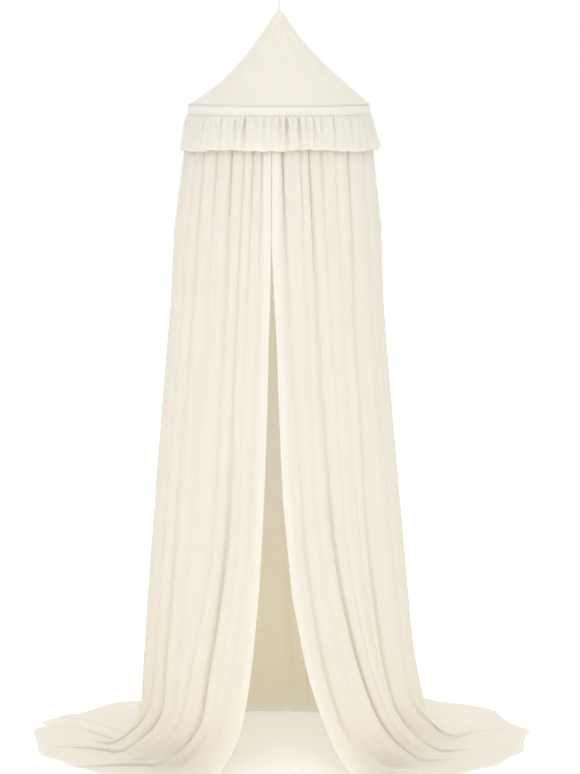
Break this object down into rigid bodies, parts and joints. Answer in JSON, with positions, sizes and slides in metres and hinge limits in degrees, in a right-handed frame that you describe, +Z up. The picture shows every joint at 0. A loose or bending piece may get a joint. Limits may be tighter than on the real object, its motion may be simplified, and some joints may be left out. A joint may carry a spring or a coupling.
{
  "type": "bed canopy with hoop",
  "caption": "Hanging cloth canopy: pointed roof over a plain hoop, short ruffle and a long gathered drape that opens at the front and lies on the floor at its foot.",
  "frame": {"origin": "top of the hanging loop, where the ceiling holds it", "axes": "+Z up along the canopy's axis, front opening towards -Y, +X to the right as seen from the front"},
  "size_m": [1.4661, 0.9373, 2.16],
  "materials": {
    "cloth": "crinkled matt cotton, cream",
    "band_cloth": "smooth matt cotton, light cream",
    "cord": "thin twisted cotton cord, cream",
    "hoop": "plain off-white plastic"
  },
  "bodies": {
    "root": {"hanging_loop": "cord", "roof": "cloth", "band": "band_cloth", "hoop": "hoop", "ruffle": "cloth", "drape": "cloth"}
  },
  "joints": []
}
